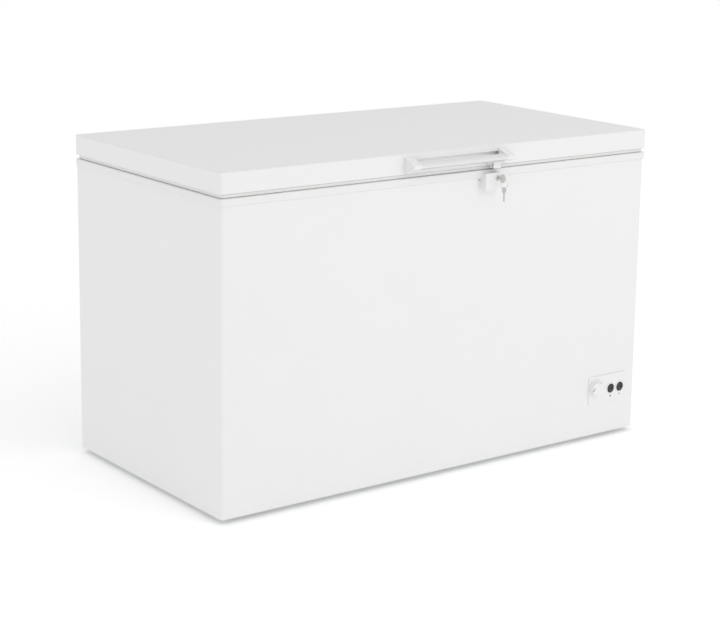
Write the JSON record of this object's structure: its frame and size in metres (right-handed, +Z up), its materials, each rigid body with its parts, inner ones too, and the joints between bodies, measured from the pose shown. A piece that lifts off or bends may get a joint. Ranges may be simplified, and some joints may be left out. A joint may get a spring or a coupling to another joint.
{
  "type": "chest freezer",
  "caption": "White chest freezer with a counterbalanced lid, a stand-off grip handle, a key lock, a control panel and hanging baskets.",
  "frame": {"origin": "floor level, at the centre of the whole outline seen from above", "axes": "+Z up; the front with the handle and the lock faces -Y; +X towards the machine compartment and the control panel"},
  "size_m": [1.36, 0.776, 0.85],
  "materials": {
    "shell_enamel": "satin",
    "rear_steel": "satin",
    "galvanised": "satin",
    "foam": "matte",
    "liner_aluminium": "satin",
    "frame_plastic": "satin",
    "handle_plastic": "satin",
    "panel_plastic": "satin",
    "seal_rubber": "matte",
    "copper": "satin",
    "compressor_paint": "satin",
    "black_plastic": "satin",
    "thermostat_plastic": "satin",
    "grey_plastic": "satin",
    "black_rubber": "matte",
    "zinc_steel": "satin",
    "spring_steel": "satin",
    "chrome": "polished",
    "key_steel": "satin",
    "lens_plastic": "satin",
    "lamp_glass": "polished",
    "coated_wire": "satin"
  },
  "bodies": {
    "cabinet": {"outer_wrap": "shell_enamel", "rear_panel": "rear_steel", "base_pan": "galvanised", "cabinet_foam": "foam", "inner_liner": "liner_aluminium", "top_frame": "frame_plastic", "machine_wall": "galvanised", "condenser_tube": "copper", "evaporator_tube": "copper", "compressor": "compressor_paint", "compressor_plate": "galvanised", "compressor_grommets": "black_rubber", "compressor_bolts": "zinc_steel", "start_relay_cover": "black_plastic", "filter_drier": "copper", "discharge_tube": "copper", "suction_tube": "copper", "wiring_harness": "black_plastic", "rear_grille": "black_plastic", "side_grille": "panel_plastic", "grille_screws": "zinc_steel", "mains_gland": "black_plastic", "control_panel": "panel_plastic", "thermostat_body": "thermostat_plastic", "thermostat_bulb_tube": "copper", "rocker_housings": "panel_plastic", "drain_tube": "thermostat_plastic", "feet": "black_rubber", "foot_screws": "zinc_steel", "hinge_brackets": "zinc_steel", "hinge_pins": "zinc_steel", "hinge_springs": "spring_steel", "hinge_screws": "zinc_steel", "lock_housing": "handle_plastic", "lock_screws": "zinc_steel"},
    "lid": {"lid_skin": "shell_enamel", "lid_foam": "foam", "lid_liner": "frame_plastic", "lid_seal": "seal_rubber", "handle_base": "handle_plastic", "handle_brackets": "handle_plastic", "handle_grip": "handle_plastic", "handle_screws": "zinc_steel", "lock_strike": "handle_plastic", "hinge_leaves": "zinc_steel", "leaf_screws": "zinc_steel", "lamp_housing": "frame_plastic", "lamp_lens": "lens_plastic", "lamp_bulb": "lamp_glass"},
    "lock_plug": {"lock_barrel": "chrome", "lock_cam": "zinc_steel", "key": "chrome"},
    "key_ring": {"key_ring": "chrome"},
    "spare_key": {"spare_key": "key_steel"},
    "dial": {"thermostat_knob": "panel_plastic"},
    "rocker_left": {"rocker_left": "black_plastic"},
    "rocker_right": {"rocker_right": "black_plastic"},
    "basket_left": {"basket_left": "coated_wire"},
    "basket_right": {"basket_right": "coated_wire"},
    "drain_plug": {"drain_plug": "grey_plastic"}
  },
  "joints": [
    {"name": "lid_hinge", "type": "hinge", "parent": "cabinet", "child": "lid", "pos_m": [0, 0.379, 0.797], "axis": [-1, 0, 0], "range_deg": [0, 85], "stiffness_Nm_per_rad": 18.4, "springref_deg": 94.54, "deforming": ["hinge_springs"]},
    {"name": "key_turn", "type": "hinge", "parent": "cabinet", "child": "lock_plug", "pos_m": [0.139, -0.357, 0.7685], "axis": [0, 1, 0], "range_deg": [0, 90]},
    {"name": "ring_swing", "type": "hinge", "parent": "lock_plug", "child": "key_ring", "pos_m": [0.139, -0.38, 0.7676], "axis": [-1, 0, 0], "range_deg": [-8, 60]},
    {"name": "spare_key_swing", "type": "hinge", "parent": "key_ring", "child": "spare_key", "pos_m": [0.139, -0.38, 0.7446], "axis": [-1, 0, 0], "range_deg": [-8, 60]},
    {"name": "dial_turn", "type": "hinge", "parent": "cabinet", "child": "dial", "pos_m": [0.527, -0.333, 0.144], "axis": [0, 1, 0], "range_deg": [0, 270]},
    {"name": "rocker_left_tilt", "type": "hinge", "parent": "cabinet", "child": "rocker_left", "pos_m": [0.586, -0.329, 0.136], "axis": [-1, 0, 0], "range_deg": [0, 12]},
    {"name": "rocker_right_tilt", "type": "hinge", "parent": "cabinet", "child": "rocker_right", "pos_m": [0.62, -0.329, 0.136], "axis": [-1, 0, 0], "range_deg": [0, 12]},
    {"name": "basket_left_slide", "type": "slide", "parent": "cabinet", "child": "basket_left", "axis": [1, 0, 0], "range_m": [0, 0.25]},
    {"name": "basket_right_slide", "type": "slide", "parent": "cabinet", "child": "basket_right", "axis": [-1, 0, 0], "range_m": [0, 0.25]},
    {"name": "drain_plug_pull", "type": "slide", "parent": "cabinet", "child": "drain_plug", "axis": [0, 0, 1], "range_m": [0, 0.03]}
  ]
}
